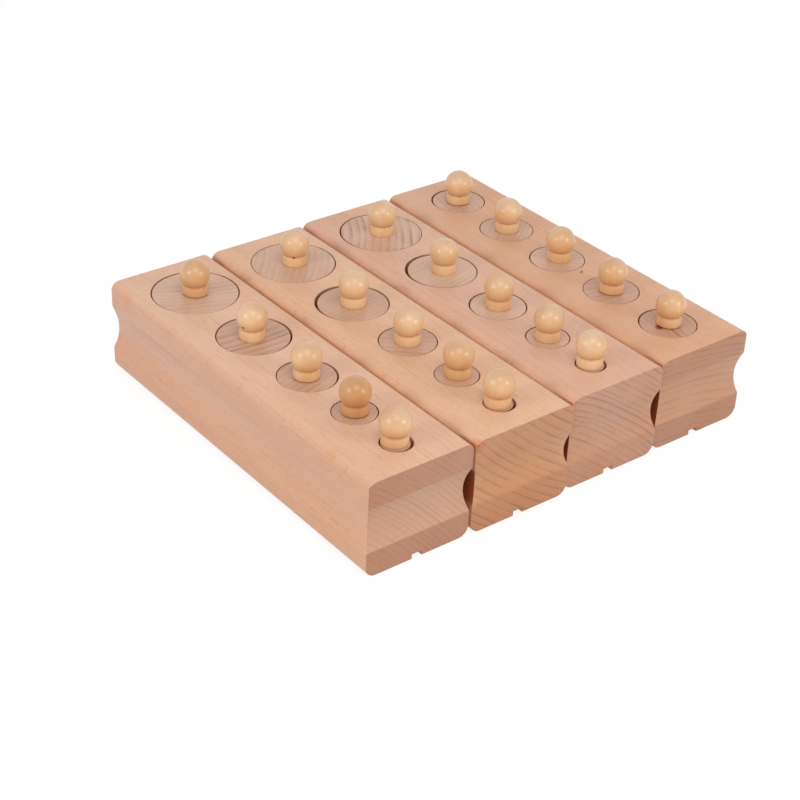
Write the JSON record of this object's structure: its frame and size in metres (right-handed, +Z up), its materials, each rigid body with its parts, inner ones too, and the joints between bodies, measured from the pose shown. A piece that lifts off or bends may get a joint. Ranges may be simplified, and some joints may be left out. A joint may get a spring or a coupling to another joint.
{
  "type": "knobbed cylinder block set",
  "caption": "Beech sorting blocks in a row; each holds a line of round cylinders in sockets, lifted out by small lacquered knobs.",
  "frame": {"origin": "middle of the row of four blocks, on the surface they stand on", "axes": "+X across the row from block_a to block_d, +Y along the blocks from their small ends to their far ends, +Z up"},
  "size_m": [0.1638, 0.152, 0.0476],
  "materials": {
    "beech_block": "smooth sanded beech, unlacquered",
    "beech_cylinder": "sanded beech, matte",
    "lacquered_knob": "glossy clear lacquer"
  },
  "bodies": {
    "block_a": {"block_a": "beech_block"},
    "block_b": {"block_b": "beech_block"},
    "block_c": {"block_c": "beech_block"},
    "block_d": {"block_d": "beech_block"},
    "cylinder_a1": {"cylinder_a1": "beech_cylinder", "knob_a1": "lacquered_knob"},
    "cylinder_a2": {"cylinder_a2": "beech_cylinder", "knob_a2": "lacquered_knob"},
    "cylinder_a3": {"cylinder_a3": "beech_cylinder", "knob_a3": "lacquered_knob"},
    "cylinder_a4": {"cylinder_a4": "beech_cylinder", "knob_a4": "lacquered_knob"},
    "cylinder_a5": {"cylinder_a5": "beech_cylinder", "knob_a5": "lacquered_knob"},
    "cylinder_b1": {"cylinder_b1": "beech_cylinder", "knob_b1": "lacquered_knob"},
    "cylinder_b2": {"cylinder_b2": "beech_cylinder", "knob_b2": "lacquered_knob"},
    "cylinder_b3": {"cylinder_b3": "beech_cylinder", "knob_b3": "lacquered_knob"},
    "cylinder_b4": {"cylinder_b4": "beech_cylinder", "knob_b4": "lacquered_knob"},
    "cylinder_b5": {"cylinder_b5": "beech_cylinder", "knob_b5": "lacquered_knob"},
    "cylinder_c1": {"cylinder_c1": "beech_cylinder", "knob_c1": "lacquered_knob"},
    "cylinder_c2": {"cylinder_c2": "beech_cylinder", "knob_c2": "lacquered_knob"},
    "cylinder_c3": {"cylinder_c3": "beech_cylinder", "knob_c3": "lacquered_knob"},
    "cylinder_c4": {"cylinder_c4": "beech_cylinder", "knob_c4": "lacquered_knob"},
    "cylinder_c5": {"cylinder_c5": "beech_cylinder", "knob_c5": "lacquered_knob"},
    "cylinder_d1": {"cylinder_d1": "beech_cylinder", "knob_d1": "lacquered_knob"},
    "cylinder_d2": {"cylinder_d2": "beech_cylinder", "knob_d2": "lacquered_knob"},
    "cylinder_d3": {"cylinder_d3": "beech_cylinder", "knob_d3": "lacquered_knob"},
    "cylinder_d4": {"cylinder_d4": "beech_cylinder", "knob_d4": "lacquered_knob"},
    "cylinder_d5": {"cylinder_d5": "beech_cylinder", "knob_d5": "lacquered_knob"}
  },
  "joints": [
    {"name": "block_b_lift", "type": "slide", "parent": "block_a", "child": "block_b", "axis": [0, 0, 1], "range_m": [0, 0.05]},
    {"name": "block_c_lift", "type": "slide", "parent": "block_a", "child": "block_c", "axis": [0, 0, 1], "range_m": [0, 0.05]},
    {"name": "block_d_lift", "type": "slide", "parent": "block_a", "child": "block_d", "axis": [0, 0, 1], "range_m": [0, 0.05]},
    {"name": "cylinder_a1_lift", "type": "slide", "parent": "block_a", "child": "cylinder_a1", "axis": [0, 0, 1], "range_m": [0, 0.034]},
    {"name": "cylinder_a2_lift", "type": "slide", "parent": "block_a", "child": "cylinder_a2", "axis": [0, 0, 1], "range_m": [0, 0.034]},
    {"name": "cylinder_a3_lift", "type": "slide", "parent": "block_a", "child": "cylinder_a3", "axis": [0, 0, 1], "range_m": [0, 0.034]},
    {"name": "cylinder_a4_lift", "type": "slide", "parent": "block_a", "child": "cylinder_a4", "axis": [0, 0, 1], "range_m": [0, 0.034]},
    {"name": "cylinder_a5_lift", "type": "slide", "parent": "block_a", "child": "cylinder_a5", "axis": [0, 0, 1], "range_m": [0, 0.034]},
    {"name": "cylinder_b1_lift", "type": "slide", "parent": "block_b", "child": "cylinder_b1", "axis": [0, 0, 1], "range_m": [0, 0.034]},
    {"name": "cylinder_b2_lift", "type": "slide", "parent": "block_b", "child": "cylinder_b2", "axis": [0, 0, 1], "range_m": [0, 0.0301]},
    {"name": "cylinder_b3_lift", "type": "slide", "parent": "block_b", "child": "cylinder_b3", "axis": [0, 0, 1], "range_m": [0, 0.0262]},
    {"name": "cylinder_b4_lift", "type": "slide", "parent": "block_b", "child": "cylinder_b4", "axis": [0, 0, 1], "range_m": [0, 0.0222]},
    {"name": "cylinder_b5_lift", "type": "slide", "parent": "block_b", "child": "cylinder_b5", "axis": [0, 0, 1], "range_m": [0, 0.0183]},
    {"name": "cylinder_c1_lift", "type": "slide", "parent": "block_c", "child": "cylinder_c1", "axis": [0, 0, 1], "range_m": [0, 0.0183]},
    {"name": "cylinder_c2_lift", "type": "slide", "parent": "block_c", "child": "cylinder_c2", "axis": [0, 0, 1], "range_m": [0, 0.0222]},
    {"name": "cylinder_c3_lift", "type": "slide", "parent": "block_c", "child": "cylinder_c3", "axis": [0, 0, 1], "range_m": [0, 0.0262]},
    {"name": "cylinder_c4_lift", "type": "slide", "parent": "block_c", "child": "cylinder_c4", "axis": [0, 0, 1], "range_m": [0, 0.0301]},
    {"name": "cylinder_c5_lift", "type": "slide", "parent": "block_c", "child": "cylinder_c5", "axis": [0, 0, 1], "range_m": [0, 0.034]},
    {"name": "cylinder_d1_lift", "type": "slide", "parent": "block_d", "child": "cylinder_d1", "axis": [0, 0, 1], "range_m": [0, 0.034]},
    {"name": "cylinder_d2_lift", "type": "slide", "parent": "block_d", "child": "cylinder_d2", "axis": [0, 0, 1], "range_m": [0, 0.0301]},
    {"name": "cylinder_d3_lift", "type": "slide", "parent": "block_d", "child": "cylinder_d3", "axis": [0, 0, 1], "range_m": [0, 0.0262]},
    {"name": "cylinder_d4_lift", "type": "slide", "parent": "block_d", "child": "cylinder_d4", "axis": [0, 0, 1], "range_m": [0, 0.0222]},
    {"name": "cylinder_d5_lift", "type": "slide", "parent": "block_d", "child": "cylinder_d5", "axis": [0, 0, 1], "range_m": [0, 0.0183]}
  ]
}
